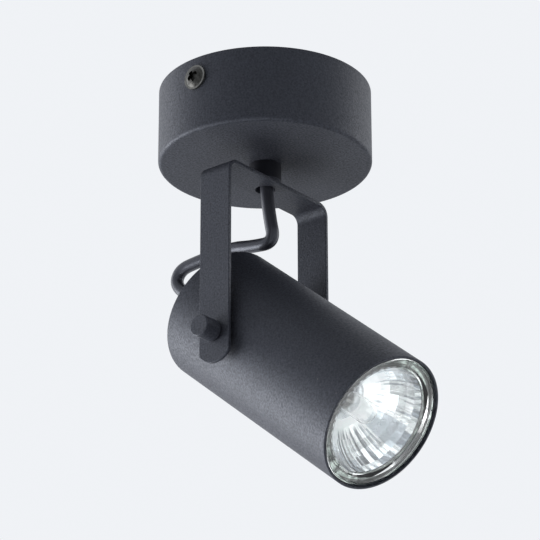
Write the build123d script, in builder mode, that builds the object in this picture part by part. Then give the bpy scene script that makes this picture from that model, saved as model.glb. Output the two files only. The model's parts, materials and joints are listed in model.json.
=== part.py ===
from build123d import *

import os
from math import cos, radians, sin, sqrt, tan

# Ceiling spotlight: a round canopy, a swivelling yoke and a tilting can with a twist-lock reflector lamp.
# Millimetres, +Z up. The origin is the centre of the canopy's rim, on the ceiling.
# The yoke lies along X. The can points down and towards -Y.

os.makedirs("parts", exist_ok=True)

# Fits and clearances
running_fit = 0.05
slip_fit = 0.1
side_clearance = 0.3

# Canopy: a drawn cup, open against the ceiling
canopy_diameter = 83.0
canopy_height = 30.7
canopy_wall = 1.2
canopy_edge_radius = 1.5

# Ceiling bracket inside the canopy
bracket_width = 14.0
bracket_thickness = 1.5
bracket_bend = 1.5
bracket_leg = 13.5
bracket_play = 0.5
slot_spacing = 44.0
slot_width = 4.6
slot_length = 12.0

# Side screws that hold the canopy on the bracket
side_screw_drop = 8.5
side_screw_diameter = 4.0
side_screw_reach = 9.0
screw_flange_diameter = 9.8
screw_flange_thickness = 0.8
screw_dome_step = 0.75
screw_dome_height = 1.7
recess_length = 4.7
recess_width = 1.7
recess_rounding = 0.5
recess_depth = 1.8
recess_turn = 25.0

# Terminal block under the bracket's wing
pole_count = 3
pole_pitch = 8.0
block_wall = 1.0
block_depth = 15.0
block_height = 12.0
block_setback = 2.0
block_peg_diameter = 3.0
sleeve_wall = 0.65
sleeve_room = 0.4
sleeve_inset = 1.0
clamp_screw_diameter = 2.0
clamp_screw_length = 3.6
clamp_screw_slot = 0.5
wing_margin = 1.0

# Cable and its cores
cable_diameter = 5.1
core_diameter = 1.8
core_gap = 0.2
arc_share = 0.45
live_angle = 150.0
neutral_angle = 30.0
earth_angle = 270.0
core_grip = 4.0
core_rise = 4.5
core_lead_in = 4.0
cable_proud = 1.4

# Route of the cable below the plate: how far behind the stem each point lies, and how far below the plate
entry_rise = 4.8
fold_start_back = -4.5
fold_start_drop = 19.5
fold_end_back = -0.2
fold_end_drop = 24.0
run_start_back = 17.0
run_start_drop = 20.2
run_end_back = 40.2
run_end_drop = 20.1
turn_back = 43.5
turn_drop = 23.75
turn_tail = 28.7

# Swivel between canopy and yoke
cable_room = 1.35
stem_wall = 1.1
stem_flange_thickness = 1.8
stem_proud = 1.0
collar_wall = 1.2
collar_height = 6.8
stop_washer_rim = 3.0
stop_washer_thickness = 1.0
stop_finger_width = 2.4
stop_finger_length = 4.0
stop_pin_diameter = 2.5
stop_pin_height = 4.0
stop_pin_gap = 1.25
spring_washer_rim = 2.5
spring_washer_thickness = 1.6
spring_washer_slit = 1.0
nut_wall = 2.0
nut_height = 5.0

# Yoke: one strap bent to a U
strap_width = 14.3
strap_thickness = 1.5
strap_bend = 3.5
strap_edge_rounding = 0.3
pivot_drop = 67.9
arm_tail = 12.1
arm_end_ease = 1.65

# Can
tilt_from_down = 50.8
can_wall = 0.8
lamp_gap = 0.45
can_tail = 29.5
can_edge_rounding = 0.3
pivot_offset = 3.2
cap_thickness = 1.0
cap_skirt = 7.0
cap_skirt_wall = 0.8

# Cable gland in the rear cap
gland_wall = 1.4
gland_collar_rim = 1.5
gland_collar_length = 3.0
gland_nut_wall = 2.5
gland_nut_thickness = 3.0
clamp_wall = 2.0
clamp_length = 3.0
cable_tail = 1.5

# Strap across the can that carries the lampholder and the pivots
holder_strap_width = 12.0
holder_strap_thickness = 1.2
holder_strap_bend = 1.5
holder_strap_ear = 6.5
holder_seat = 4.2

# Pivots
pivot_screw_diameter = 4.0
bush_spigot_wall = 1.0
bush_shoulder = 1.5
bush_spigot_proud = 0.6
bush_proud = 0.9
tilt_washer_overhang = 1.0
tilt_washer_thickness = 1.1
knob_diameter = 8.4
knob_length = 8.0
knob_chamfer = 0.35
knob_washer_step = 0.4
knob_washer_thickness = 0.6
pivot_screw_proud = 1.5

# Lampholder
holder_length = 27.0
holder_width = 17.0
holder_height = 14.0
holder_corner = 3.0
holder_plate = 2.0
holder_screw_diameter = 3.0
holder_screw_inset = 2.5
holder_screw_head = 5.4
holder_screw_head_height = 2.0
holder_screw_depth = 5.0
contact_thickness = 0.5
contact_width = 3.0
contact_length = 4.0
lead_side = 4.0
lead_lift = 6.5
lead_run = 8.0
earth_lead_drop = 4.5

# Lamp: a reflector lamp with a two-pin twist-lock base
lamp_diameter = 50.5
lamp_length = 48.8
lamp_recess = 0.5
glass_rim_width = 4.2
glass_rim_height = 3.5
glass_rim_rounding = 1.2
glass_bevel = 1.0
window_recess = 1.2
window_thickness = 1.6
reflector_step = 0.3
reflector_lip = 2.0
reflector_wall = 2.1
reflector_neck = 10.2
reflector_depth = 17.45
reflector_bulge = 3.2
lamp_base_length = 16.3
lamp_base_end_radius = 9.0
lamp_throat_radius = 5.2
capsule_diameter = 8.6
capsule_wall = 0.7
capsule_length = 31.5
capsule_pinch_diameter = 7.0
capsule_pinch_length = 6.0
capsule_seat = 4.5
capsule_shoulder = 1.5
filament_wire = 0.8
filament_diameter = 1.4
filament_length = 4.0
pin_spacing = 10.0
pin_diameter = 3.0
pin_head_diameter = 5.0
pin_neck_length = 3.0
pin_head_length = 3.0
lock_angle = 30.0
lock_clearance = 0.2

# Levels and stations worked out from the sizes above
canopy_radius = canopy_diameter / 2
canopy_inside = canopy_radius - canopy_wall
floor_z = -canopy_height + canopy_wall
cable_radius = cable_diameter / 2
core_ring_radius = (core_diameter + core_gap) / sqrt(3)
bore_radius = cable_radius + cable_room
stem_radius = bore_radius + stem_wall
stem_hole_radius = stem_radius + running_fit
collar_radius = stem_hole_radius + collar_wall
stop_washer_radius = stem_radius + stop_washer_rim
stop_pin_radius = stop_pin_diameter / 2
stop_pin_offset = stop_washer_radius + stop_pin_gap + stop_pin_radius
stop_finger_end = stop_washer_radius + stop_finger_length
spring_washer_radius = stem_radius + spring_washer_rim
nut_inscribed_radius = stem_radius + nut_wall
bracket_end = sqrt((canopy_inside - bracket_play) ** 2 - (bracket_width / 2) ** 2)
flange_top = -canopy_height - collar_height
plate_top = flange_top - stem_flange_thickness
plate_under = plate_top - strap_thickness
stop_washer_top = floor_z + stop_washer_thickness
spring_washer_top = stop_washer_top + spring_washer_thickness
nut_top = spring_washer_top + nut_height
stem_top = nut_top + stem_proud
cable_top = stem_top + cable_proud
block_top = -bracket_thickness
block_near = bracket_width / 2 + block_setback
block_middle = block_near + block_depth / 2
block_width = pole_count * pole_pitch + 2 * block_wall
bore_z = block_top - block_height / 2
sleeve_inside = core_diameter / 2 + sleeve_room
sleeve_radius = sleeve_inside + sleeve_wall
screw_flange_radius = screw_flange_diameter / 2
screw_dome_radius = screw_flange_radius - screw_dome_step
screw_head_height = screw_flange_thickness + screw_dome_height
screw_dome_sphere = (screw_dome_radius**2 + screw_dome_height**2) / (2 * screw_dome_height)

lamp_radius = lamp_diameter / 2
can_inside = lamp_radius + lamp_gap
can_radius = can_inside + can_wall
bush_face = can_radius + bush_proud
arm_inside = bush_face + tilt_washer_thickness
arm_outside = arm_inside + strap_thickness
arm_end_radius = strap_width / 2 + arm_end_ease
pivot_z = plate_under - pivot_drop
arm_end_z = pivot_z - arm_tail

holder_front = holder_seat + holder_height
lamp_face = holder_front + lamp_length
can_front = lamp_face + lamp_recess
cap_inner = -can_tail + cap_thickness
gland_nut_end = cap_inner + gland_nut_thickness
clamp_end = gland_nut_end + clamp_length
cable_end = clamp_end + cable_tail

strap_back = holder_seat - holder_strap_thickness
pin_end = holder_front - pin_neck_length - pin_head_length
contact_face = pin_end - slip_fit
cavity_floor = contact_face - contact_thickness
cavity_depth = holder_front - holder_plate - cavity_floor
strap_middle = -pivot_offset / 2
strap_edge = holder_strap_width / 2 - strap_middle
ear_outside = sqrt((can_inside - side_clearance) ** 2 - strap_edge**2)
ear_inside = ear_outside - holder_strap_thickness
holder_screw_spacing = holder_length - 2 * holder_screw_inset
pivot_screw_radius = pivot_screw_diameter / 2
pivot_hole_radius = pivot_screw_radius + running_fit
bush_spigot_radius = pivot_screw_radius + bush_spigot_wall
bush_radius = bush_spigot_radius + bush_shoulder
tilt_washer_radius = bush_radius + tilt_washer_overhang
knob_radius = knob_diameter / 2
knob_washer_radius = knob_radius - knob_washer_step

# The can's own frame: local Z runs forward along its axis, local Y is its upper side, and local Z = 0 is
# level with the pivots, which lie below the axis.
tilt = radians(tilt_from_down)
forward = Vector(0, -sin(tilt), -cos(tilt))
upward = Vector(0, -cos(tilt), sin(tilt))
can_origin = Vector(0, 0, pivot_z) + upward * pivot_offset
can_plane = Plane(origin=can_origin, x_dir=(1, 0, 0), z_dir=forward)
can_axis = Axis(can_origin, forward)
can_profile = Plane(origin=can_origin, x_dir=upward, z_dir=(1, 0, 0))
pivot_plane = Plane(origin=(0, 0, pivot_z), x_dir=upward, z_dir=(1, 0, 0))


def in_can(x, y, z):
    """A point of the can's own frame, in the object's frame."""
    return can_plane.from_local_coords(Vector(x, y, z))


def route_radii(points):
    """The largest fillet radii that the straight runs of a route leave room for."""
    radii = []
    for before, corner, after in zip(points, points[1:], points[2:]):
        run_in = Vector(corner) - Vector(before)
        run_out = Vector(after) - Vector(corner)
        half_turn = radians(run_in.get_angle(run_out)) / 2
        radii.append(arc_share * min(run_in.length, run_out.length) / tan(half_turn))
    return radii


def swept_tube(name, points, diameter):
    """A round tube along straight runs joined by tangent arcs."""
    radii = route_radii(points)
    start = Plane(origin=points[0], z_dir=Vector(points[1]) - Vector(points[0]))
    with BuildPart() as tube:
        with BuildLine() as route:
            FilletPolyline(*points, radius=radii)
        with BuildSketch(start):
            Circle(diameter / 2)
        sweep(path=route.wire())
    length = route.wire().length
    section = Circle(diameter / 2, mode=Mode.PRIVATE).area
    print(name, "length", round(length, 2), "radii", [round(radius, 2) for radius in radii])
    print(name, "volume over section times length", round(tube.part.volume / (section * length), 5))
    return tube.part


def turned(plane, axis, outline):
    """A turned piece from a closed outline of radius and station."""
    with BuildPart() as piece:
        with BuildSketch(plane):
            with BuildLine():
                Polyline(*outline, close=True)
            make_face()
        revolve(axis=axis)
    return piece.part


def ring_outline(inner, outer, low, high):
    """The outline of a plain ring for a turned piece."""
    return [(inner, low), (outer, low), (outer, high), (inner, high)]


def bent_strap(plane, half_span, foot, crown, thickness, bend, width):
    """A strap bent to a U, from the feet of its two arms to the outside of its crown."""
    inner_span = half_span - thickness
    inner_crown = crown - thickness
    outside = [(-half_span, foot), (-half_span, crown), (half_span, crown), (half_span, foot)]
    inside = [(inner_span, foot), (inner_span, inner_crown), (-inner_span, inner_crown), (-inner_span, foot)]
    with BuildPart() as strap:
        with BuildSketch(plane):
            with BuildLine():
                FilletPolyline(*outside, radius=bend + thickness)
                FilletPolyline(*inside, radius=bend)
                Line(outside[-1], inside[0])
                Line(inside[-1], outside[0])
            make_face()
        extrude(amount=width / 2, both=True)
    return strap.part


def keep(piece, name):
    """Label a finished piece and write it."""
    piece.label = name
    export_step(piece, f"parts/{name}.step")


# Canopy

with BuildPart() as canopy_cup:
    with BuildSketch(Plane.XZ):
        with BuildLine():
            Polyline(
                (stem_hole_radius, -canopy_height),
                (canopy_radius, -canopy_height),
                (canopy_radius, 0),
                (canopy_inside, 0),
                (canopy_inside, floor_z),
                (stem_hole_radius, floor_z),
                close=True,
            )
        make_face()
    revolve(axis=Axis.Z)
    bottom_edges = canopy_cup.edges().filter_by(GeomType.CIRCLE).group_by(Axis.Z)[0]
    fillet(bottom_edges.sort_by(SortBy.RADIUS)[-1], canopy_edge_radius)
    with Locations(Location((0, 0, -side_screw_drop), (0, 90, 0))):
        Cylinder(side_screw_diameter / 2 + slip_fit, 2 * canopy_diameter, mode=Mode.SUBTRACT)

bent_bracket = bent_strap(
    Plane.XZ, bracket_end, -bracket_leg, 0, bracket_thickness, bracket_bend, bracket_width
)
with BuildPart() as ceiling_bracket:
    add(bent_bracket)
    wing_end = block_near + block_depth + wing_margin
    with BuildSketch(Plane.XY):
        with Locations((0, wing_end / 2)):
            Rectangle(block_width + 2 * wing_margin, wing_end)
    extrude(amount=-bracket_thickness)
    with BuildSketch(Plane.XY):
        with GridLocations(slot_spacing, 0, 2, 1):
            SlotOverall(slot_length, slot_width)
        with Locations((0, block_middle)):
            with GridLocations(pole_pitch, 0, 2, 1):
                Circle(block_peg_diameter / 2 + running_fit)
    extrude(amount=-bracket_thickness, mode=Mode.SUBTRACT)
    with Locations(Location((0, 0, -side_screw_drop), (0, 90, 0))):
        Cylinder(side_screw_diameter / 2 + running_fit, 2 * canopy_diameter, mode=Mode.SUBTRACT)

# One flanged screw with a domed head on each side, turned about an axis that points out of the canopy.
with BuildPart() as canopy_screws:
    for side in (-1, 1):
        seat_centre = (side * canopy_radius, 0, -side_screw_drop)
        with BuildSketch(Plane(origin=seat_centre, x_dir=(0, 0, 1), z_dir=(0, side, 0))):
            with BuildLine():
                Polyline(
                    (0, screw_head_height),
                    (0, -side_screw_reach),
                    (side_screw_diameter / 2, -side_screw_reach),
                    (side_screw_diameter / 2, 0),
                    (screw_flange_radius, 0),
                    (screw_flange_radius, screw_flange_thickness),
                    (screw_dome_radius, screw_flange_thickness),
                )
                dome_edge = (screw_dome_radius, screw_flange_thickness)
                RadiusArc(dome_edge, (0, screw_head_height), -screw_dome_sphere)
            make_face()
        revolve(axis=Axis(seat_centre, (side, 0, 0)))
        seat = Plane(origin=seat_centre, x_dir=(0, 1, 0), z_dir=(side, 0, 0))
        with BuildSketch(seat.offset(screw_head_height - recess_depth)):
            for turn in (recess_turn, recess_turn + 90):
                RectangleRounded(recess_length, recess_width, recess_rounding, rotation=turn)
        extrude(amount=recess_depth, mode=Mode.SUBTRACT)

pole_offsets = [pole_pitch * (pole - (pole_count - 1) / 2) for pole in range(pole_count)]
clamp_offsets = [block_middle - block_depth / 4, block_middle + block_depth / 4]
clamp_tip = bore_z - sleeve_inside + slip_fit

with BuildPart() as terminal_block:
    with BuildSketch(Plane.XY.offset(block_top)):
        with Locations((0, block_middle)):
            RectangleRounded(block_width, block_depth, block_wall)
    extrude(amount=-block_height)
    with BuildSketch(Plane.XY.offset(block_top)):
        with Locations((0, block_middle)):
            with GridLocations(pole_pitch, 0, 2, 1):
                Circle(block_peg_diameter / 2)
    extrude(amount=bracket_thickness - side_clearance)
    with BuildSketch(Plane.XZ.offset(-block_near)):
        for offset_x in pole_offsets:
            with Locations((offset_x, bore_z)):
                Circle(sleeve_radius + running_fit)
    extrude(amount=-block_depth, mode=Mode.SUBTRACT)
    with BuildSketch(Plane.XY.offset(block_top - block_height)):
        for offset_x in pole_offsets:
            for offset_y in clamp_offsets:
                with Locations((offset_x, offset_y)):
                    Circle(clamp_screw_diameter / 2 + slip_fit)
    extrude(amount=block_height / 2, mode=Mode.SUBTRACT)

with BuildPart() as terminal_sleeves:
    with BuildSketch(Plane.XZ.offset(-block_near - sleeve_inset)):
        for offset_x in pole_offsets:
            with Locations((offset_x, bore_z)):
                Circle(sleeve_radius)
                Circle(sleeve_inside, mode=Mode.SUBTRACT)
    extrude(amount=-(block_depth - 2 * sleeve_inset))
    with BuildSketch(Plane.XY.offset(bore_z)):
        for offset_x in pole_offsets:
            for offset_y in clamp_offsets:
                with Locations((offset_x, offset_y)):
                    Circle(clamp_screw_diameter / 2 + running_fit)
    extrude(amount=-2 * sleeve_radius, mode=Mode.SUBTRACT)

with BuildPart() as terminal_screws:
    for offset_x in pole_offsets:
        for offset_y in clamp_offsets:
            with BuildSketch(Plane.XY.offset(clamp_tip)):
                with Locations((offset_x, offset_y)):
                    Circle(clamp_screw_diameter / 2)
            extrude(amount=-clamp_screw_length)
            with BuildSketch(Plane.XY.offset(clamp_tip - clamp_screw_length)):
                with Locations((offset_x, offset_y)):
                    Rectangle(clamp_screw_slot, 2 * clamp_screw_diameter)
            extrude(amount=clamp_screw_slot, mode=Mode.SUBTRACT)

with BuildPart() as stop_pin:
    with BuildSketch(Plane.XY.offset(floor_z)):
        with Locations((0, stop_pin_offset)):
            Circle(stop_pin_radius)
    extrude(amount=stop_pin_height)


def core_start(angle):
    """Where a core stands in the cable's section."""
    return core_ring_radius * cos(radians(angle)), core_ring_radius * sin(radians(angle))


def canopy_core(name, start_angle, pole_x):
    """One core, from the top of the cable up and over into its terminal."""
    start_x, start_y = core_start(start_angle)
    points = [
        (start_x, start_y, cable_top),
        (start_x, start_y, bore_z - core_rise),
        (pole_x, block_near - core_lead_in, bore_z),
        (pole_x, block_near + core_grip, bore_z),
    ]
    return swept_tube(name, points, core_diameter)


live_core = canopy_core("live_core", -live_angle, pole_offsets[0])
earth_core = canopy_core("earth_core", -earth_angle, pole_offsets[pole_count // 2])
neutral_core = canopy_core("neutral_core", -neutral_angle, pole_offsets[-1])

# Yoke

bent_yoke = bent_strap(
    Plane.XZ, arm_outside, arm_end_z, plate_top, strap_thickness, strap_bend, strap_width
)
with BuildPart() as yoke_strap:
    add(bent_yoke)
    arc_start = arm_end_z + arm_end_radius - sqrt(arm_end_radius**2 - (strap_width / 2) ** 2)
    with BuildSketch(Plane.YZ):
        with BuildLine():
            Polyline(
                (-strap_width / 2, arc_start),
                (-strap_width / 2, plate_top),
                (strap_width / 2, plate_top),
                (strap_width / 2, arc_start),
            )
            ThreePointArc((strap_width / 2, arc_start), (0, arm_end_z), (-strap_width / 2, arc_start))
        make_face()
    extrude(amount=arm_outside, both=True, mode=Mode.INTERSECT)
    skin_edges = yoke_strap.edges().filter_by(lambda edge: edge.length > 2 * strap_thickness)
    fillet(skin_edges, strap_edge_rounding)
    with Locations((0, 0, plate_top)):
        Cylinder(bore_radius, 4 * strap_thickness, mode=Mode.SUBTRACT)
    with Locations(Location((0, 0, pivot_z), (0, 90, 0))):
        Cylinder(pivot_hole_radius, 4 * arm_outside, mode=Mode.SUBTRACT)

swivel_stem = turned(
    Plane.XZ,
    Axis.Z,
    [
        (bore_radius, plate_top),
        (collar_radius, plate_top),
        (collar_radius, flange_top),
        (stem_radius, flange_top),
        (stem_radius, stem_top),
        (bore_radius, stem_top),
    ],
)
swivel_collar = turned(
    Plane.XZ, Axis.Z, ring_outline(stem_hole_radius, collar_radius, flange_top, -canopy_height)
)

with BuildPart() as stop_washer:
    with BuildSketch(Plane.XY.offset(floor_z)):
        Circle(stop_washer_radius)
        with Locations((0, -stop_finger_end / 2)):
            Rectangle(stop_finger_width, stop_finger_end)
        Circle(stem_hole_radius, mode=Mode.SUBTRACT)
    extrude(amount=stop_washer_thickness)

with BuildPart() as spring_washer:
    with BuildSketch(Plane.XY.offset(stop_washer_top)):
        Circle(spring_washer_radius)
        Circle(stem_hole_radius, mode=Mode.SUBTRACT)
        with Locations((0, spring_washer_radius)):
            Rectangle(spring_washer_slit, 2 * spring_washer_radius, mode=Mode.SUBTRACT)
    extrude(amount=spring_washer_thickness)

with BuildPart() as swivel_nut:
    with BuildSketch(Plane.XY.offset(spring_washer_top)):
        RegularPolygon(nut_inscribed_radius, 6, major_radius=False)
        Circle(stem_hole_radius, mode=Mode.SUBTRACT)
    extrude(amount=nut_height)

# The cable drops through the stem, folds back under the plate, runs out behind the can and turns into the
# rear cap along the can's axis. Its points are measured from the plate and from the rear cap.
cable_points = [
    Vector(0, 0, cable_top),
    Vector(0, 0, plate_under + entry_rise),
    Vector(0, fold_start_back, plate_under - fold_start_drop),
    Vector(0, fold_end_back, plate_under - fold_end_drop),
    Vector(0, run_start_back, plate_under - run_start_drop),
    Vector(0, run_end_back, plate_under - run_end_drop),
    Vector(0, turn_back, plate_under - turn_drop),
    in_can(0, 0, -can_tail - turn_tail),
    in_can(0, 0, cable_end),
]
lamp_cable = swept_tube("lamp_cable", cable_points, cable_diameter)

# Can

with BuildPart() as can_tube:
    with BuildSketch(can_profile):
        with BuildLine():
            Polyline(*ring_outline(can_inside, can_radius, -can_tail, can_front), close=True)
        outline = make_face()
        fillet(outline.vertices().group_by(Axis.X)[-1], can_edge_rounding)
    revolve(axis=can_axis)
    with BuildSketch(pivot_plane):
        Circle(bush_radius + running_fit)
    extrude(amount=2 * can_radius, both=True, mode=Mode.SUBTRACT)

cap_radius = can_inside - running_fit
cable_hole_radius = cable_radius + running_fit
gland_radius = cable_hole_radius + gland_wall
gland_hole_radius = gland_radius + running_fit
rear_cap = turned(
    can_profile,
    can_axis,
    [
        (gland_hole_radius, -can_tail),
        (cap_radius, -can_tail),
        (cap_radius, cap_inner + cap_skirt),
        (cap_radius - cap_skirt_wall, cap_inner + cap_skirt),
        (cap_radius - cap_skirt_wall, cap_inner),
        (gland_hole_radius, cap_inner),
    ],
)

cable_gland = turned(
    can_profile,
    can_axis,
    [
        (cable_hole_radius, -can_tail - gland_collar_length),
        (gland_radius, -can_tail - gland_collar_length),
        (gland_radius + gland_collar_rim, -can_tail),
        (gland_radius, -can_tail),
        (gland_radius, gland_nut_end),
        (cable_hole_radius, gland_nut_end),
    ],
)
gland_nut = turned(
    can_profile,
    can_axis,
    ring_outline(gland_hole_radius, gland_radius + gland_nut_wall, cap_inner, gland_nut_end),
)
cord_clamp = turned(
    can_profile,
    can_axis,
    ring_outline(cable_hole_radius, cable_hole_radius + clamp_wall, gland_nut_end, clamp_end),
)

strap_plane = Plane(origin=in_can(0, strap_middle, 0), x_dir=(1, 0, 0), z_dir=-upward)
bent_holder_strap = bent_strap(
    strap_plane,
    ear_outside,
    -holder_strap_ear,
    holder_seat,
    holder_strap_thickness,
    holder_strap_bend,
    holder_strap_width,
)
with BuildPart() as holder_strap:
    add(bent_holder_strap)
    with BuildSketch(pivot_plane):
        Circle(bush_spigot_radius + running_fit)
    extrude(amount=2 * can_radius, both=True, mode=Mode.SUBTRACT)
    with BuildSketch(can_plane.offset(holder_seat)):
        with GridLocations(holder_screw_spacing, 0, 2, 1):
            Circle(holder_screw_diameter / 2 + slip_fit)
    extrude(amount=-holder_strap_thickness, mode=Mode.SUBTRACT)


def pivot_ring(side, inner, outer, near, far):
    """A ring about the pivot axis, between two distances from the middle of the yoke."""
    with BuildPart() as ring:
        with BuildSketch(pivot_plane.offset(side * near)):
            Circle(outer)
            Circle(inner, mode=Mode.SUBTRACT)
        extrude(amount=side * (far - near))
    return ring.part


def pivot_bush(side):
    """The threaded bush that is riveted to an ear of the strap and stands through the can's wall."""
    with BuildPart() as bush:
        with BuildSketch(pivot_plane.offset(side * ear_outside)):
            Circle(bush_radius)
        extrude(amount=side * (bush_face - ear_outside))
        with BuildSketch(pivot_plane.offset(side * ear_outside)):
            Circle(bush_spigot_radius)
        extrude(amount=-side * (holder_strap_thickness + bush_spigot_proud))
        with BuildSketch(pivot_plane):
            Circle(pivot_hole_radius)
        extrude(amount=side * arm_outside, mode=Mode.SUBTRACT)
    return bush.part


def thumb_screw(side):
    """A plain round knob on the screw that clamps an arm of the yoke to the can."""
    knob_foot = arm_outside + knob_washer_thickness
    screw_end = ear_inside - bush_spigot_proud - pivot_screw_proud
    with BuildPart() as screw:
        with BuildSketch(pivot_plane.offset(side * knob_foot)):
            Circle(knob_radius)
        knob = extrude(amount=side * knob_length)
        chamfer(knob.edges().filter_by(GeomType.CIRCLE), knob_chamfer)
        with BuildSketch(pivot_plane.offset(side * knob_foot)):
            Circle(pivot_screw_radius)
        extrude(amount=-side * (knob_foot - screw_end))
    return screw.part


for side, side_name in ((-1, "left"), (1, "right")):
    keep(pivot_bush(side), f"{side_name}_pivot_bush")
    tilt_washer = pivot_ring(side, pivot_hole_radius, tilt_washer_radius, bush_face, arm_inside)
    keep(tilt_washer, f"{side_name}_tilt_washer")
    knob_seat = arm_outside + knob_washer_thickness
    knob_washer = pivot_ring(side, pivot_hole_radius, knob_washer_radius, arm_outside, knob_seat)
    keep(knob_washer, f"{side_name}_knob_washer")
    keep(thumb_screw(side), f"{side_name}_thumb_screw")

# Lampholder: each pin goes in at a round mouth and turns along an arc under the front plate.

pin_radius = pin_spacing / 2
with BuildPart() as lampholder:
    with BuildSketch(can_plane.offset(holder_seat)):
        RectangleRounded(holder_length, holder_width, holder_corner)
    extrude(amount=holder_height)
    for pin_angle in (0, 180):
        with BuildLine(mode=Mode.PRIVATE) as pin_arc:
            CenterArc((0, 0), pin_radius, pin_angle, lock_angle)
        with BuildSketch(can_plane.offset(holder_front)):
            SlotArc(pin_arc.edge(), pin_diameter + 2 * lock_clearance)
            with Locations(pin_arc.edge() @ 1):
                Circle(pin_head_diameter / 2 + lock_clearance)
        extrude(amount=-holder_plate, mode=Mode.SUBTRACT)
        with BuildSketch(can_plane.offset(holder_front - holder_plate)):
            SlotArc(pin_arc.edge(), pin_head_diameter + 2 * lock_clearance)
        extrude(amount=-cavity_depth, mode=Mode.SUBTRACT)
    with BuildSketch(can_plane.offset(holder_seat)):
        with GridLocations(holder_screw_spacing, 0, 2, 1):
            Circle(holder_screw_diameter / 2 + running_fit)
    extrude(amount=holder_screw_depth + slip_fit, mode=Mode.SUBTRACT)

with BuildPart() as holder_contacts:
    with BuildSketch(can_plane.offset(cavity_floor)):
        with GridLocations(pin_spacing, 0, 2, 1):
            Rectangle(contact_width, contact_length)
    extrude(amount=contact_thickness)

with BuildPart() as holder_screws:
    with BuildSketch(can_plane.offset(strap_back)):
        with GridLocations(holder_screw_spacing, 0, 2, 1):
            Circle(holder_screw_head / 2)
    extrude(amount=-holder_screw_head_height)
    with BuildSketch(can_plane.offset(strap_back)):
        with GridLocations(holder_screw_spacing, 0, 2, 1):
            Circle(holder_screw_diameter / 2)
    extrude(amount=holder_strap_thickness + holder_screw_depth)


def holder_lead(name, start_angle, end_x, end_y, end_station):
    """One lead from the end of the cable to the back of the lampholder or its strap."""
    start_x, start_y = core_start(start_angle)
    points = [
        in_can(start_x, start_y, cable_end),
        in_can(start_x, start_y, cable_end + lead_run),
        in_can(end_x, end_y, end_station - lead_run),
        in_can(end_x, end_y, end_station),
    ]
    return swept_tube(name, points, core_diameter)


# The two supply leads pass the strap's edge, and the earth lead ends on the strap.
live_lead = holder_lead("live_lead", live_angle, -lead_side, lead_lift, holder_seat)
neutral_lead = holder_lead("neutral_lead", neutral_angle, lead_side, lead_lift, holder_seat)
earth_lead = holder_lead("earth_lead", earth_angle, 0, -earth_lead_drop, strap_back)

# Lamp

glass_back = lamp_face - glass_rim_height
window_radius = lamp_radius - glass_rim_width
window_face = lamp_face - window_recess
with BuildPart() as lamp_front_glass:
    with BuildSketch(can_profile):
        with BuildLine():
            Polyline(
                (0, window_face),
                (window_radius, window_face),
                (window_radius + glass_bevel, lamp_face),
                (lamp_radius - glass_rim_rounding, lamp_face),
            )
            rim_start = (lamp_radius - glass_rim_rounding, lamp_face)
            RadiusArc(rim_start, (lamp_radius, lamp_face - glass_rim_rounding), glass_rim_rounding)
            Polyline(
                (lamp_radius, lamp_face - glass_rim_rounding),
                (lamp_radius, glass_back),
                (window_radius, glass_back),
                (window_radius, window_face - window_thickness),
                (0, window_face - window_thickness),
                (0, window_face),
            )
        make_face()
    revolve(axis=can_axis)

reflector_back = holder_front + lamp_base_length
bowl_rim = lamp_radius - reflector_step
bowl_back = glass_back - reflector_lip
bowl_floor = glass_back - reflector_depth
neck_front = bowl_floor - reflector_wall


def bowl_middle(rim_radius, rim_station, neck_radius, neck_station):
    """The middle point of the bowl's curve, bulged outward from its chord."""
    chord = Vector(rim_radius - neck_radius, rim_station - neck_station)
    outward = Vector(chord.Y, -chord.X).normalized()
    middle = Vector((rim_radius + neck_radius) / 2, (rim_station + neck_station) / 2)
    return middle + outward * reflector_bulge


with BuildPart() as lamp_reflector:
    inner_rim = window_radius
    outer_rim = inner_rim + reflector_wall
    inner_neck = reflector_neck - reflector_wall
    with BuildSketch(can_profile):
        with BuildLine():
            Polyline(
                (inner_rim, glass_back),
                (bowl_rim, glass_back),
                (bowl_rim, bowl_back),
                (outer_rim, bowl_back),
            )
            ThreePointArc(
                (outer_rim, bowl_back),
                bowl_middle(outer_rim, bowl_back, reflector_neck, neck_front),
                (reflector_neck, neck_front),
            )
            Polyline(
                (reflector_neck, neck_front),
                (reflector_neck, reflector_back),
                (lamp_throat_radius, reflector_back),
                (lamp_throat_radius, bowl_floor),
                (inner_neck, bowl_floor),
            )
            ThreePointArc(
                (inner_neck, bowl_floor),
                bowl_middle(inner_rim, glass_back, inner_neck, bowl_floor),
                (inner_rim, glass_back),
            )
        make_face()
    revolve(axis=can_axis)

capsule_seat_radius = capsule_pinch_diameter / 2 + running_fit
lamp_base = turned(
    can_profile,
    can_axis,
    [
        (0, holder_front),
        (lamp_base_end_radius, holder_front),
        (reflector_neck, reflector_back),
        (capsule_seat_radius, reflector_back),
        (capsule_seat_radius, reflector_back - capsule_seat),
        (0, reflector_back - capsule_seat),
    ],
)

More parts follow.
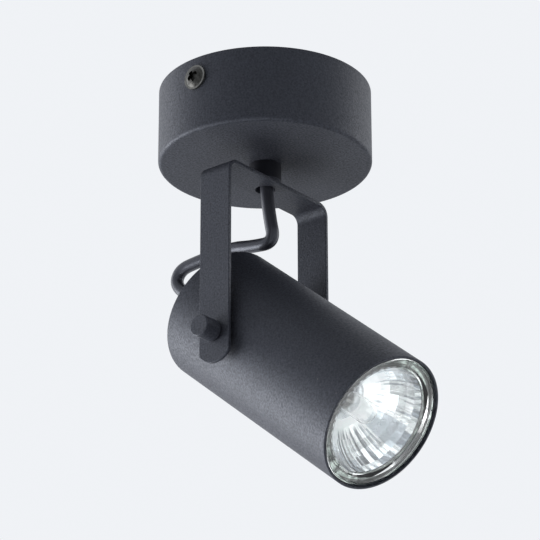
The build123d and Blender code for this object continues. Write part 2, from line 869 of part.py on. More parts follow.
capsule_foot = reflector_back - capsule_seat
capsule_waist = capsule_foot + capsule_pinch_length
capsule_radius = capsule_diameter / 2
capsule_tip = capsule_foot + capsule_length
capsule_spring = capsule_tip - capsule_radius
capsule_hollow = capsule_radius - capsule_wall
hollow_floor = capsule_waist + capsule_shoulder
with BuildPart() as lamp_capsule:
    with BuildSketch(can_profile):
        with BuildLine():
            Polyline(
                (0, capsule_foot),
                (capsule_pinch_diameter / 2, capsule_foot),
                (capsule_pinch_diameter / 2, capsule_waist),
                (capsule_radius, hollow_floor),
                (capsule_radius, capsule_spring),
            )
            RadiusArc((capsule_radius, capsule_spring), (0, capsule_tip), -capsule_radius)
            Line((0, capsule_tip), (0, capsule_tip - capsule_wall))
            RadiusArc((0, capsule_tip - capsule_wall), (capsule_hollow, capsule_spring), capsule_hollow)
            Polyline(
                (capsule_hollow, capsule_spring),
                (capsule_hollow, hollow_floor),
                (0, hollow_floor),
                (0, capsule_foot),
            )
        make_face()
    revolve(axis=can_axis)
    with BuildSketch(can_plane.offset(capsule_foot)):
        with GridLocations(filament_length, 0, 2, 1):
            Circle(filament_wire / 2 + running_fit)
    extrude(amount=capsule_pinch_length + capsule_shoulder, mode=Mode.SUBTRACT)

with BuildPart() as lamp_filament:
    filament_station = (hollow_floor + capsule_spring) / 2
    with BuildSketch(can_plane.offset(capsule_foot)):
        with GridLocations(filament_length, 0, 2, 1):
            Circle(filament_wire / 2)
    extrude(amount=filament_station - capsule_foot)
    with BuildSketch(Plane(origin=in_can(0, 0, filament_station), x_dir=upward, z_dir=(1, 0, 0))):
        Circle(filament_diameter / 2)
    extrude(amount=(filament_length + filament_wire) / 2, both=True)

with BuildPart() as lamp_pins:
    with BuildSketch(can_plane.offset(holder_front)):
        with GridLocations(pin_spacing, 0, 2, 1):
            Circle(pin_diameter / 2)
    extrude(amount=-pin_neck_length)
    with BuildSketch(can_plane.offset(holder_front - pin_neck_length)):
        with GridLocations(pin_spacing, 0, 2, 1):
            Circle(pin_head_diameter / 2)
    extrude(amount=-pin_head_length)

for finished, finished_name in (
    (canopy_cup.part, "canopy_cup"),
    (ceiling_bracket.part, "ceiling_bracket"),
    (canopy_screws.part, "canopy_screws"),
    (terminal_block.part, "terminal_block"),
    (terminal_sleeves.part, "terminal_sleeves"),
    (terminal_screws.part, "terminal_screws"),
    (stop_pin.part, "stop_pin"),
    (live_core, "live_core"),
    (earth_core, "earth_core"),
    (neutral_core, "neutral_core"),
    (yoke_strap.part, "yoke_strap"),
    (swivel_stem, "swivel_stem"),
    (swivel_collar, "swivel_collar"),
    (stop_washer.part, "stop_washer"),
    (spring_washer.part, "spring_washer"),
    (swivel_nut.part, "swivel_nut"),
    (lamp_cable, "lamp_cable"),
    (can_tube.part, "can_tube"),
    (rear_cap, "rear_cap"),
    (cable_gland, "cable_gland"),
    (gland_nut, "gland_nut"),
    (cord_clamp, "cord_clamp"),
    (holder_strap.part, "holder_strap"),
    (lampholder.part, "lampholder"),
    (holder_contacts.part, "holder_contacts"),
    (holder_screws.part, "holder_screws"),
    (live_lead, "live_lead"),
    (neutral_lead, "neutral_lead"),
    (earth_lead, "earth_lead"),
    (lamp_front_glass.part, "lamp_front_glass"),
    (lamp_reflector.part, "lamp_reflector"),
    (lamp_base, "lamp_base"),
    (lamp_capsule.part, "lamp_capsule"),
    (lamp_filament.part, "lamp_filament"),
    (lamp_pins.part, "lamp_pins"),
):
    keep(finished, finished_name)
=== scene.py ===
import json
import math
import random

import bmesh
import bpy
from mathutils import Matrix, Vector


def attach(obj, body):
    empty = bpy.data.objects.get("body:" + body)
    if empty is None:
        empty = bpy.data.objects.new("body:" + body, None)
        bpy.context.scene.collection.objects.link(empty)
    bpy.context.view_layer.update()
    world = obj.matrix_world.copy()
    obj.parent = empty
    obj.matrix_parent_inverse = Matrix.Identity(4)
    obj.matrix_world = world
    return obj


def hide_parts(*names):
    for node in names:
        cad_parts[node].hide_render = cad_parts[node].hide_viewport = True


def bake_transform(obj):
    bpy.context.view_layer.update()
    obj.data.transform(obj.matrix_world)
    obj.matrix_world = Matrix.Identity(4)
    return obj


# Ceiling spotlight: the looks of its surfaces, its cable and the facets of its lamp's reflector.
# Metres, +Z up, in the same frame as the solids.

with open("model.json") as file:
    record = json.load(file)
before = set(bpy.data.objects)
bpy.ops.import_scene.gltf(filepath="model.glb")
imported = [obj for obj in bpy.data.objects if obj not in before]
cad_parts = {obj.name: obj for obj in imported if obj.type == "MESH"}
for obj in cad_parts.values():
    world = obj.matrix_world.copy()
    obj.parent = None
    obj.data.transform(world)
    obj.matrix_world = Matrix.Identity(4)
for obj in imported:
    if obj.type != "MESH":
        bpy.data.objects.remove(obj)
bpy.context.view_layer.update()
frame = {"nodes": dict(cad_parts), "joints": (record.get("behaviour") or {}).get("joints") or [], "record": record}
nodes = frame["nodes"]
joints = {joint["name"]: joint for joint in frame["joints"]}
mm = 0.001

# The can's own frame: stations run forward along its axis from the level of the pivots.
can_origin = Vector(joints["lamp_twist"]["pos_m"])
forward = Vector(joints["lamp_twist"]["axis"]).normalized()
sideways = Vector((1, 0, 0))
upward = forward.cross(sideways).normalized()

# Camera
frame_pixels = 540
focal_pixels = 2818.98
sensor_width = 36.0
camera_place = Vector((-765.35, -629.95, -492.13)) * mm
camera_target = Vector((0.271, -2.112, -74.816)) * mm
camera_roll = math.radians(-0.112)
nearest_seen = 0.05
farthest_seen = 20.0

# Studio
backdrop_colour = (0.87, 0.89, 0.92)
fill_colour = (0.95, 0.97, 1.0)
fill_strength = 0.02
floor_half = 6.0
floor_level = -2.4
light_target = Vector((0, 0, -0.085))

# Cable: the control points of its smooth line
cable_diameter = 5.1 * mm
cable_sides = 32
cable_steps = 24
least_step = 0.02 * mm
cable_route = [
    (0, 0, -19.5),
    (0, 0, -36.0),
    (0, -2.2, -53.0),
    (0, -4.6, -64.0),
    (0, 6.5, -62.9),
    (0, 17.0, -60.6),
    (0, 34.0, -61.8),
    (0, 42.5, -62.6),
    (0, 45.4, -67.2),
    (0, 42.4, -72.2),
    (0, 29.75, -80.31),
    (0, 14.25, -92.95),
]

# Reflector: a bowl between two arcs of revolution, fluted inside, on a straight neck
bowl_flange_radius = 24.95 * mm
bowl_rim_radius = 21.05 * mm
bowl_rim_station = 63.45 * mm
bowl_depth = 17.45 * mm
bowl_lip = 2.0 * mm
bowl_wall = 2.1 * mm
bowl_bulge = 3.2 * mm
neck_radius = 10.2 * mm
neck_station = 34.5 * mm
throat_radius = 5.2 * mm
flute_count = 42
flute_columns = 2 * flute_count
band_count = 7
facet_seed = 7
flute_lean = 0.09 * mm
facet_lean = 0.03 * mm
scallop_depth = 0.3 * mm
outer_rings = 10

# Sheen of the black coating and plastics, a little blue
cool_sheen = (0.80, 0.86, 1.0, 1.0)

# Side screws: their axis below the ceiling, and where the dome meets the flange
screw_drop = 8.5 * mm
screw_dome_radius = 4.15 * mm
screw_flange_blend = 0.1 * mm


def make_camera():
    """The photograph's viewpoint."""
    data = bpy.data.cameras.new("camera")
    data.sensor_width = sensor_width
    data.lens = focal_pixels * sensor_width / frame_pixels
    data.clip_start = nearest_seen
    data.clip_end = farthest_seen
    camera = bpy.data.objects.new("camera", data)
    bpy.context.scene.collection.objects.link(camera)
    camera.location = camera_place
    look = (camera_target - camera_place).to_track_quat("-Z", "Y").to_matrix().to_4x4()
    line_of_sight = look.to_3x3().col[2].normalized()
    camera.rotation_euler = look.to_euler()
    camera.rotation_euler.rotate(Matrix.Rotation(camera_roll, 3, line_of_sight))
    bpy.context.scene.camera = camera


def mesh_object(name, mesh):
    """A new object that shows a mesh."""
    made = bpy.data.objects.new(name, mesh)
    bpy.context.scene.collection.objects.link(made)
    return made


def spline_points(route):
    """Points along a smooth line that has the route's points as its control points."""
    curve = bpy.data.curves.new("route", "CURVE")
    curve.dimensions = "3D"
    curve.resolution_u = cable_steps
    spline = curve.splines.new("NURBS")
    spline.points.add(len(route) - 1)
    for point, place in zip(spline.points, route):
        point.co = (*(Vector(place) * mm), 1)
    spline.order_u = 3
    spline.use_endpoint_u = True
    holder = bpy.data.objects.new("route", curve)
    bpy.context.scene.collection.objects.link(holder)
    bpy.context.view_layer.update()
    mesh = bpy.data.meshes.new_from_object(holder)
    points = [mesh.vertices[0].co.copy()]
    for vertex in mesh.vertices:
        if (vertex.co - points[-1]).length > least_step:
            points.append(vertex.co.copy())
    bpy.data.objects.remove(holder)
    bpy.data.meshes.remove(mesh)
    return points


def line_mesh(name, points):
    """A line of edges through the points."""
    mesh = bpy.data.meshes.new(name)
    mesh.from_pydata(points, [(index, index + 1) for index in range(len(points) - 1)], [])
    return mesh


def keep_share(tree, name, curve):
    """A curve whose points keep, under a name, their share of the way along it."""
    share = tree.nodes.new("GeometryNodeSplineParameter").outputs["Factor"]
    keep = tree.nodes.new("GeometryNodeStoreNamedAttribute")
    keep.inputs["Name"].default_value = name
    tree.links.new(curve, keep.inputs["Geometry"])
    tree.links.new(share, keep.inputs["Value"])
    return keep.outputs["Geometry"]


def sweep_tube(line, radius, sides, material):
    """A closed round tube round an object's line, which keeps its thickness when the line bends."""
    tree = bpy.data.node_groups.new("tube", "GeometryNodeTree")
    for way in ("INPUT", "OUTPUT"):
        tree.interface.new_socket("Geometry", in_out=way, socket_type="NodeSocketGeometry")
    add = tree.nodes.new
    link = tree.links.new
    route = add("GeometryNodeMeshToCurve")
    link(add("NodeGroupInput").outputs[0], route.inputs["Mesh"])
    circle = add("GeometryNodeCurvePrimitiveCircle")
    circle.inputs["Resolution"].default_value = sides
    circle.inputs["Radius"].default_value = radius
    sweep = add("GeometryNodeCurveToMesh")
    sweep.inputs["Fill Caps"].default_value = True
    link(keep_share(tree, "cable_run", route.outputs["Curve"]), sweep.inputs["Curve"])
    link(keep_share(tree, "cable_turn", circle.outputs["Curve"]), sweep.inputs["Profile Curve"])
    dress = add("GeometryNodeSetMaterial")
    dress.inputs["Material"].default_value = material
    link(sweep.outputs["Mesh"], dress.inputs["Geometry"])
    link(dress.outputs["Geometry"], add("NodeGroupOutput").inputs[0])
    line.modifiers.new("tube", "NODES").node_group = tree


def make_cable():
    """The supply cable from the stem, under the plate and into the can's back."""
    points = spline_points(cable_route)
    cable = mesh_object("cable_jacket", line_mesh("cable_jacket", points))
    finish = cable_material()
    cable.data.materials.append(finish)
    sweep_tube(cable, cable_diameter / 2, cable_sides, finish)
    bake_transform(cable)
    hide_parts("lamp_cable")


def in_can(radius, angle, station):
    """A point of the can's own frame."""
    turned = sideways * math.cos(angle) + upward * math.sin(angle)
    return can_origin + forward * station + turned * radius


def arc_through(rim, neck, bulge, count):
    """Points of radius and station on the arc from a neck to a rim, bulged outward from its chord."""
    chord = Vector((rim[0] - neck[0], rim[1] - neck[1]))
    half = chord.length / 2
    radius = (half * half + bulge * bulge) / (2 * bulge)
    along = chord.normalized()
    outward = Vector((along.y, -along.x))
    centre = Vector(neck) + along * half + outward * (bulge - radius)
    reach = math.asin(half / radius)
    points = []
    for index in range(count + 1):
        angle = -reach + 2 * reach * index / count
        points.append(centre + along * radius * math.sin(angle) + outward * radius * math.cos(angle))
    return points


def reflector_profile():
    """The bowl's closed section as radii and stations, and the number of its first faceted point."""
    floor_station = bowl_rim_station - bowl_depth
    inner = arc_through(
        (bowl_rim_radius, bowl_rim_station),
        (neck_radius - bowl_wall, floor_station),
        bowl_bulge,
        band_count,
    )
    outer = arc_through(
        (bowl_rim_radius + bowl_wall, bowl_rim_station - bowl_lip),
        (neck_radius, floor_station - bowl_wall),
        bowl_bulge,
        outer_rings,
    )
    profile = [(throat_radius, neck_station), (throat_radius, floor_station)]
    first_facet = len(profile)
    profile += [tuple(point) for point in inner]
    profile.append((bowl_flange_radius, bowl_rim_station))
    profile.append((bowl_flange_radius, bowl_rim_station - bowl_lip))
    profile += [tuple(point) for point in reversed(outer)]
    profile.append((neck_radius, neck_station))
    return profile, first_facet


def reflector_rings(shape, profile, first_facet, rim_row):
    """A ring of points for each point of the section. The facets lean a little by chance."""
    chance = random.Random(facet_seed)
    leans = [chance.uniform(-flute_lean, flute_lean) for flute in range(flute_count)]
    rings = []
    for row, (radius, station) in enumerate(profile):
        ring = []
        for column in range(flute_columns):
            depth = 0.0
            if first_facet < row < rim_row:
                depth = chance.uniform(-facet_lean, facet_lean)
                if column % 2:
                    depth += leans[column // 2]
            elif row == rim_row and column % 2:
                depth = scallop_depth
            angle = 2 * math.pi * column / flute_columns - math.pi
            ring.append(shape.verts.new(in_can(radius + depth, angle, station)))
        rings.append(ring)
    return rings


def make_reflector():
    """The lamp's bowl. Inside, each flute has two columns of flat facets, and the rim is scalloped."""
    profile, first_facet = reflector_profile()
    rim_row = first_facet + band_count
    shape = bmesh.new()
    texture = shape.loops.layers.uv.new("UVMap")
    rings = reflector_rings(shape, profile, first_facet, rim_row)
    flutes, back, rim = range(3)
    for row, ring in enumerate(rings):
        following = rings[(row + 1) % len(rings)]
        band = row - first_facet
        faceted = 0 <= band < band_count
        if faceted:
            finish = flutes
        elif row == rim_row:
            finish = rim
        else:
            finish = back
        for column in range(flute_columns):
            beside = (column + 1) % flute_columns
            face = shape.faces.new((ring[column], ring[beside], following[beside], following[column]))
            face.material_index = finish
            face.smooth = not faceted
            corners = ((column, band), (column + 1, band), (column + 1, band + 1), (column, band + 1))
            for loop, (turn, step) in zip(face.loops, corners):
                loop[texture].uv = (turn / flute_columns, step / band_count)
    bmesh.ops.recalc_face_normals(shape, faces=shape.faces)
    mesh = bpy.data.meshes.new("fluted_reflector")
    shape.to_mesh(mesh)
    shape.free()
    reflector = mesh_object("fluted_reflector", mesh)
    for material in (flute_material(), reflector_back_material(), reflector_rim_material()):
        mesh.materials.append(material)
    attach(reflector, "lamp")
    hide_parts("lamp_reflector")


class Shader:
    """A material's node tree with one surface shader."""

    def __init__(self, name, inputs=None):
        self.material = bpy.data.materials.new(name)
        self.material.use_nodes = True
        self.tree = self.material.node_tree
        self.surface = self.tree.nodes["Principled BSDF"]
        for socket, value in (inputs or {}).items():
            self.feed(self.surface.inputs[socket], value)
        places = self.add("ShaderNodeTexCoord").outputs
        self.place = places["Object"]
        self.texture_place = places["UV"]

    def feed(self, socket, value):
        """Link a node's output to a socket, or set the socket to a plain value."""
        if isinstance(value, bpy.types.NodeSocket):
            self.tree.links.new(value, socket)
        else:
            socket.default_value = value

    def add(self, kind, inputs=None, **settings):
        """Add a node with its settings, and feed its inputs."""
        node = self.tree.nodes.new(kind)
        for name, value in settings.items():
            setattr(node, name, value)
        for name, value in (inputs or {}).items():
            self.feed(node.inputs[name], value)
        return node

    def noise(self, scale, detail=2.0, roughness=0.5, place=None):
        """A cloud pattern with so many lumps to the metre."""
        vector = self.place if place is None else place
        settings = {"Vector": vector, "Scale": scale, "Detail": detail, "Roughness": roughness}
        return self.add("ShaderNodeTexNoise", settings).outputs["Fac"]

    def specks(self, scale, reach, rarity):
        """A mask of sparse round grains, with so many cells to the metre."""
        cells = self.add("ShaderNodeTexVoronoi", {"Vector": self.place, "Scale": scale}).outputs
        chance = self.add("ShaderNodeSeparateColor", {"Color": cells["Color"]}).outputs["Red"]
        near = self.math("LESS_THAN", cells["Distance"], reach)
        return self.math("MULTIPLY", near, self.math("GREATER_THAN", chance, rarity))

    def stretch(self, place, across, along):
        """A place on a surface with its two directions multiplied."""
        settings = {"Vector": place, "Scale": (across, along, 1.0)}
        return self.add("ShaderNodeMapping", settings).outputs["Vector"]

    def cells(self, across, along):
        """A random number for each cell of a grid over the texture's square."""
        grid = self.stretch(self.texture_place, across, along)
        cell = self.add("ShaderNodeVectorMath", {0: grid}, operation="FLOOR").outputs["Vector"]
        return self.add("ShaderNodeTexWhiteNoise", {"Vector": cell}, noise_dimensions="2D").outputs["Value"]

    def ramp(self, value, stops):
        """A value turned into colours, from pairs of position and colour."""
        node = self.add("ShaderNodeValToRGB", {"Fac": value})
        elements = node.color_ramp.elements
        while len(elements) < len(stops):
            elements.new(0.5)
        for element, (position, colour) in zip(elements, stops):
            element.position = position
            element.color = (*colour, 1.0)
        return node.outputs["Color"]

    def levels(self, value, stops):
        """A value turned into greys, from pairs of position and level."""
        return self.ramp(value, [(position, (level, level, level)) for position, level in stops])

    def spread(self, value, low, high, start=0.3, stop=0.7):
        """A value mapped from one range to another."""
        settings = {"Value": value, "From Min": start, "From Max": stop, "To Min": low, "To Max": high}
        return self.add("ShaderNodeMapRange", settings).outputs["Result"]

    def mix(self, factor, first, second, blend="MIX"):
        """Two colours mixed. The node's sockets share names, so those for colours go by their numbers."""
        inputs = {0: factor, 6: first, 7: second}
        return self.add("ShaderNodeMix", inputs, data_type="RGBA", blend_type=blend).outputs[2]

    def math(self, operation, first, second):
        """Two values or numbers put together by one operation."""
        return self.add("ShaderNodeMath", {0: first, 1: second}, operation=operation).outputs["Value"]

    def bump(self, height, strength, depth):
        """Relief of so many metres."""
        settings = {"Height": height, "Strength": strength, "Distance": depth}
        relief = self.add("ShaderNodeBump", settings).outputs["Normal"]
        self.feed(self.surface.inputs["Normal"], relief)

    def finish(self, colour, roughness=None):
        """Link the colour and roughness, and give the material."""
        self.feed(self.surface.inputs["Base Color"], colour)
        if roughness is not None:
            self.feed(self.surface.inputs["Roughness"], roughness)
        return self.material


def powder_material():
    """Satin black powder coat: a fine sandy relief with a few light grains and dark pits."""
    shader = Shader("powder_coat", {"Specular IOR Level": 0.46, "Specular Tint": cool_sheen})
    grain = shader.noise(1300, detail=1.5, roughness=0.6)
    cloud = shader.noise(60, detail=3.0)
    tone = shader.ramp(grain, [(0.32, (0.012, 0.013, 0.018)), (0.68, (0.048, 0.052, 0.067))])
    shade = shader.levels(cloud, [(0.3, 0.90), (0.7, 1.08)])
    toned = shader.mix(1.0, tone, shade, "MULTIPLY")
    speckled = shader.mix(shader.specks(420, 0.12, 0.985), toned, (0.12, 0.12, 0.13, 1.0))
    colour = shader.mix(shader.specks(300, 0.11, 0.98), speckled, (0.006, 0.006, 0.007, 1.0))
    shader.bump(grain, 0.8, 0.12 * mm)
    return shader.finish(colour, shader.spread(grain, 0.62, 0.48))


def cable_material():
    """Smooth black cable jacket with faint streaks along its length."""
    shader = Shader("cable_jacket", {"Specular IOR Level": 0.5, "Specular Tint": cool_sheen})
    turn = shader.add("ShaderNodeAttribute", attribute_name="cable_turn").outputs["Fac"]
    run = shader.add("ShaderNodeAttribute", attribute_name="cable_run").outputs["Fac"]
    along = shader.add("ShaderNodeCombineXYZ", {"X": turn, "Y": run}).outputs["Vector"]
    streak = shader.noise(1.0, detail=4.0, roughness=0.6, place=shader.stretch(along, 26.0, 5.0))
    mottle = shader.noise(700, detail=3.0)
    colour = shader.ramp(streak, [(0.3, (0.032, 0.033, 0.042)), (0.7, (0.062, 0.064, 0.078))])
    shader.bump(mottle, 0.12, 0.05 * mm)
    return shader.finish(colour, shader.spread(mottle, 0.30, 0.40))


def flute_material():
    """Aluminised flutes with painted reflections: streaks along them, a plain sector, squares on the rim."""
    shader = Shader("reflector_flutes", {"Metallic": 1.0})
    share = shader.add("ShaderNodeSeparateXYZ", {"Vector": shader.texture_place}).outputs
    line = shader.cells(3 * flute_count, 1)
    dash = shader.cells(4 * flute_count, 3)
    facet = shader.cells(flute_count, band_count)
    bright = (0.98, 0.985, 0.99)
    # Painted reflections: the streaks' light and dark tones stand in for what the flutes mirror.
    mixed = shader.math("ADD", shader.math("MULTIPLY", line, 0.6), shader.math("MULTIPLY", dash, 0.4))
    pale = shader.ramp(mixed, [(0.24, (0.50, 0.53, 0.57)), (0.33, bright)])
    deep = shader.ramp(mixed, [(0.36, (0.16, 0.18, 0.20)), (0.58, (0.97, 0.975, 0.98))])
    # The painted streaks are strongest on one side of the bowl and faint on another.
    strong = [(0.22, 0.1), (0.27, 1.0), (0.385, 1.0), (0.42, 0.1)]
    faint = [(0.53, 0.1), (0.56, 0.25), (0.65, 0.2), (0.70, 0.05)]
    painted_contrast = shader.levels(share["X"], strong + faint)
    painted_streaks = shader.mix(painted_contrast, pale, deep)
    # Painted reflection: a plain grey sector of the bowl, away from the throat.
    sector = shader.levels(share["X"], [(0.433, 0.0), (0.437, 1.0), (0.513, 1.0), (0.517, 0.0)])
    reach = shader.levels(share["Y"], [(0.27, 0.0), (0.31, 1.0)])
    plain = shader.mix(shader.math("MULTIPLY", sector, reach), painted_streaks, (0.56, 0.60, 0.65, 1.0))
    # Painted reflections: squares of different tone along the outer band.
    squares = shader.ramp(facet, [(0.30, (0.30, 0.33, 0.37)), (0.34, (0.84, 0.86, 0.88)), (0.8, bright)])
    last_band = shader.math("GREATER_THAN", share["Y"], 1 - 1 / band_count)
    rimmed = shader.mix(last_band, plain, squares)
    throat = shader.levels(share["Y"], [(0.16, 1.0), (0.26, 0.0)])
    colour = shader.mix(throat, rimmed, (*bright, 1.0))
    fine = shader.noise(900, detail=2.0)
    frosting = shader.spread(share["Y"], 0.24, 0.0, 0.3, 0.75)
    return shader.finish(colour, shader.math("ADD", shader.spread(fine, 0.08, 0.14), frosting))


def reflector_rim_material():
    """The rim behind the glass: a painted dark reflection on one side, pale green streaks on the other."""
    shader = Shader("reflector_rim", {"Metallic": 1.0})
    share = shader.add("ShaderNodeSeparateXYZ", {"Vector": shader.texture_place}).outputs["X"]
    stretched = shader.stretch(shader.texture_place, 46.0, 3.0)
    streak = shader.noise(1.0, detail=4.0, roughness=0.65, place=stretched)
    greens = [(0.38, (0.03, 0.04, 0.036)), (0.50, (0.18, 0.22, 0.20)), (0.64, (0.55, 0.61, 0.57))]
    pale = shader.ramp(streak, greens)
    # Painted reflection: one side of the rim is dark, as if it mirrored the can's dark wall.
    painted_dark_side = shader.ramp(streak, [(0.42, (0.006, 0.008, 0.008)), (0.68, (0.06, 0.08, 0.075))])
    side = shader.levels(share, [(0.05, 1.0), (0.09, 0.0), (0.74, 0.0), (0.80, 1.0)])
    return shader.finish(shader.mix(side, pale, painted_dark_side), shader.spread(streak, 0.30, 0.18))


def reflector_back_material():
    """The coated glass of the reflector's outside."""
    shader = Shader("reflector_back", {"Metallic": 1.0})
    cloud = shader.noise(300, detail=3.0)
    colour = shader.ramp(cloud, [(0.3, (0.55, 0.57, 0.60)), (0.7, (0.72, 0.74, 0.76))])
    return shader.finish(colour, shader.spread(cloud, 0.22, 0.38))


def metal_material(name, dark, light, smooth, rough):
    """Plated metal with a faint mottle."""
    shader = Shader(name, {"Metallic": 1.0})
    mottle = shader.noise(1100, detail=4.0, roughness=0.65)
    fine = shader.noise(5200, detail=2.0)
    colour = shader.ramp(mottle, [(0.3, dark), (0.7, light)])
    shader.bump(fine, 0.15, 0.02 * mm)
    return shader.finish(colour, shader.spread(mottle, smooth, rough))


def screw_material():
    """The side screws' dark plate, darker still as painted shade, with a painted highlight on the flange."""
    shader = Shader("dark_screw", {"Metallic": 1.0})
    across = {"Vector": shader.place, "Location": (0.0, 0.0, screw_drop), "Scale": (0.0, 1.0, 1.0)}
    flat = shader.add("ShaderNodeMapping", across).outputs["Vector"]
    radius = shader.add("ShaderNodeVectorMath", {0: flat}, operation="LENGTH").outputs["Value"]
    flange = shader.spread(radius, 0.0, 1.0, screw_dome_radius, screw_dome_radius + screw_flange_blend)
    mottle = shader.noise(1100, detail=4.0, roughness=0.65)
    # Painted shade: the dome's plate is darker than the metal itself.
    dome = shader.ramp(mottle, [(0.3, (0.020, 0.020, 0.019)), (0.7, (0.060, 0.060, 0.058))])
    # Painted highlight: the flange round the dome is lighter, as if its edge caught the light.
    painted_flange_highlight = shader.ramp(mottle, [(0.3, (0.10, 0.10, 0.096)), (0.7, (0.20, 0.20, 0.192))])
    return shader.finish(shader.mix(flange, dome, painted_flange_highlight), shader.spread(mottle, 0.26, 0.40))


def moulded_material(name, dark, light, smooth, rough, gloss=0.5, sheen=(1.0, 1.0, 1.0, 1.0)):
    """Moulded plastic or ceramic with a fine matt skin."""
    shader = Shader(name, {"Specular IOR Level": gloss, "Specular Tint": sheen})
    skin = shader.noise(2600, detail=3.0)
    cloud = shader.noise(160, detail=2.0)
    colour = shader.ramp(cloud, [(0.3, dark), (0.7, light)])
    shader.bump(skin, 0.2, 0.03 * mm)
    return shader.finish(colour, shader.spread(skin, smooth, rough))


def striped_material(name, first, second):
    """The earth core's two colours, in bands."""
    shader = Shader(name)
    wave = shader.add("ShaderNodeTexWave", {"Vector": shader.place, "Scale": 120.0, "Distortion": 1.0})
    colour = shader.ramp(wave.outputs["Fac"], [(0.46, first), (0.54, second)])
    return shader.finish(colour, shader.spread(shader.noise(1500), 0.35, 0.5))


def glass_material(name, tint, smooth, rough):
    """Clear pressed glass with a faint waviness."""
    shader = Shader(name, {"Transmission Weight": 1.0, "IOR": 1.47})
    wave = shader.noise(220, detail=2.0)
    colour = shader.ramp(wave, [(0.3, tint), (0.7, (1.0, 1.0, 1.0))])
    shader.bump(wave, 0.05, 0.1 * mm)
    return shader.finish(colour, shader.spread(wave, smooth, rough))


def dress_nodes():
    """Give every solid the finish of its slot in the record."""
    plated = {
        "zinc_steel": ((0.50, 0.51, 0.52), (0.66, 0.66, 0.65), 0.26, 0.42),
        "brass": ((0.68, 0.48, 0.20), (0.84, 0.64, 0.30), 0.22, 0.36),
        "tungsten": ((0.30, 0.29, 0.28), (0.42, 0.41, 0.40), 0.35, 0.5),
        "nickel": ((0.58, 0.55, 0.50), (0.72, 0.69, 0.64), 0.18, 0.32),
    }
    moulded = {
        # Black nylon, painted darker than the plastic itself as painted shade.
        "black_nylon": ((0.004, 0.004, 0.006), (0.008, 0.008, 0.011), 0.5, 0.6, 0.25, cool_sheen),
        "natural_nylon": ((0.70, 0.69, 0.64), (0.80, 0.79, 0.75), 0.4, 0.55),
        "brown_core": ((0.13, 0.05, 0.02), (0.18, 0.07, 0.03), 0.35, 0.5),
        "blue_core": ((0.02, 0.10, 0.40), (0.03, 0.14, 0.50), 0.35, 0.5),
        "ceramic": ((0.76, 0.74, 0.69), (0.84, 0.82, 0.78), 0.45, 0.65),
    }
    finishes = {
        "powder_coat": powder_material(),
        "dark_screw": screw_material(),
        "cable_jacket": cable_material(),
        "earth_core": striped_material("earth_core", (0.08, 0.34, 0.06), (0.75, 0.62, 0.04)),
        "lamp_glass": glass_material("lamp_glass", (0.93, 0.97, 0.95), 0.0, 0.03),
        "quartz": glass_material("quartz", (0.97, 0.98, 0.98), 0.0, 0.04),
        "reflector_coat": reflector_back_material(),
    }
    for name, look in plated.items():
        finishes[name] = metal_material(name, *look)
    for name, look in moulded.items():
        finishes[name] = moulded_material(name, *look)
    for part in frame["record"]["subparts"]:
        shown = nodes[part["node"]]
        shown.data.materials.clear()
        shown.data.materials.append(finishes[part["material_slot"]])


def seen_rays(tree):
    """One where a surface is seen, mirrored or looked at through glass, and nought where it gives light."""
    rays = tree.nodes.new("ShaderNodeLightPath")
    seen = rays.outputs["Is Camera Ray"]
    for name in ("Is Glossy Ray", "Is Transmission Ray"):
        either = tree.nodes.new("ShaderNodeMath")
        either.operation = "MAXIMUM"
        tree.links.new(seen, either.inputs[0])
        tree.links.new(rays.outputs[name], either.inputs[1])
        seen = either.outputs[0]
    return seen


def make_world():
    """A pale room: the backdrop's colour where it is seen or mirrored, and a faint even light elsewhere."""
    world = bpy.data.worlds.new("studio")
    world.use_nodes = True
    bpy.context.scene.world = world
    tree = world.node_tree
    tree.nodes.clear()
    fill = tree.nodes.new("ShaderNodeBackground")
    fill.inputs["Color"].default_value = (*fill_colour, 1.0)
    fill.inputs["Strength"].default_value = fill_strength
    backdrop = tree.nodes.new("ShaderNodeBackground")
    backdrop.inputs["Color"].default_value = (*backdrop_colour, 1.0)
    backdrop.inputs["Strength"].default_value = 1.0
    mixed = tree.nodes.new("ShaderNodeMixShader")
    tree.links.new(seen_rays(tree), mixed.inputs[0])
    tree.links.new(fill.outputs[0], mixed.inputs[1])
    tree.links.new(backdrop.outputs[0], mixed.inputs[2])
    output = tree.nodes.new("ShaderNodeOutputWorld")
    tree.links.new(mixed.outputs[0], output.inputs["Surface"])


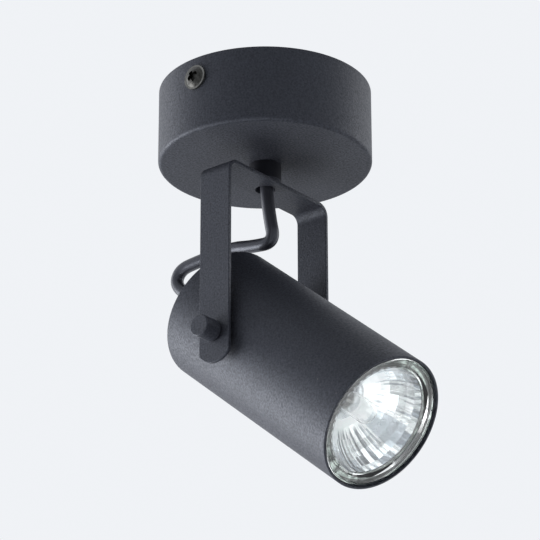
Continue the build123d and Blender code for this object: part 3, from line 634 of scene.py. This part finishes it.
def floor_material():
    """A pale matt floor that has the backdrop's colour where it is seen."""
    shader = Shader("floor", {"Roughness": 0.8, "Specular IOR Level": 0.1})
    cloud = shader.noise(2, detail=3.0)
    colour = shader.ramp(cloud, [(0.3, (0.74, 0.75, 0.76)), (0.7, (0.80, 0.81, 0.82))])
    glow = shader.add("ShaderNodeEmission", {"Color": (*backdrop_colour, 1.0), "Strength": 1.0})
    sources = {0: seen_rays(shader.tree), 1: shader.surface.outputs["BSDF"], 2: glow.outputs["Emission"]}
    both = shader.add("ShaderNodeMixShader", sources).outputs["Shader"]
    shader.feed(shader.tree.nodes["Material Output"].inputs["Surface"], both)
    return shader.finish(colour)


def make_floor():
    """A plain pale floor, a room's height below the ceiling."""
    corners = [(-1, -1), (1, -1), (1, 1), (-1, 1)]
    mesh = bpy.data.meshes.new("floor")
    points = [(x * floor_half, y * floor_half, floor_level) for x, y in corners]
    mesh.from_pydata(points, [], [(0, 1, 2, 3)])
    floor = mesh_object("floor", mesh)
    floor.data.materials.append(floor_material())


def soft_light(name, place, size, power):
    """A soft box aimed at the object."""
    data = bpy.data.lights.new(name, "AREA")
    data.shape = "RECTANGLE"
    data.size, data.size_y = size
    data.energy = power
    lamp = bpy.data.objects.new(name, data)
    bpy.context.scene.collection.objects.link(lamp)
    lamp.location = place
    lamp.rotation_euler = (light_target - Vector(place)).to_track_quat("-Z", "Y").to_euler()


def make_lights():
    """Two soft boxes on the left, three below, two on the right and a strip before the lamp.

    The lamp's front glass mirrors the lower box on the right to the camera, and its bowl the box
    below and in front.
    """
    soft_light("left_low", (-0.335, 0.776, -0.393), (0.75, 0.5), 10.1)
    soft_light("left_high", (-0.217, 0.842, 0.148), (0.5, 0.5), 1.7)
    soft_light("left_below", (-0.514, 0.050, -0.822), (0.5, 0.5), 1.2)
    soft_light("below", (0.05, -0.12, -0.98), (0.6, 0.6), 1.2)
    soft_light("front_below", (-0.55, -0.44, -0.93), (0.5, 0.5), 1.2)
    soft_light("right_low", (0.680, -0.503, -0.393), (0.5, 0.5), 0.7)
    soft_light("right_high", (0.764, -0.415, 0.148), (0.5, 0.5), 1.5)
    soft_light("front", (-0.078, -0.897, -0.116), (0.5, 0.12), 0.35)


bpy.context.scene.view_settings.view_transform = "Standard"
make_camera()
make_cable()
make_reflector()
dress_nodes()
make_world()
make_floor()
make_lights()
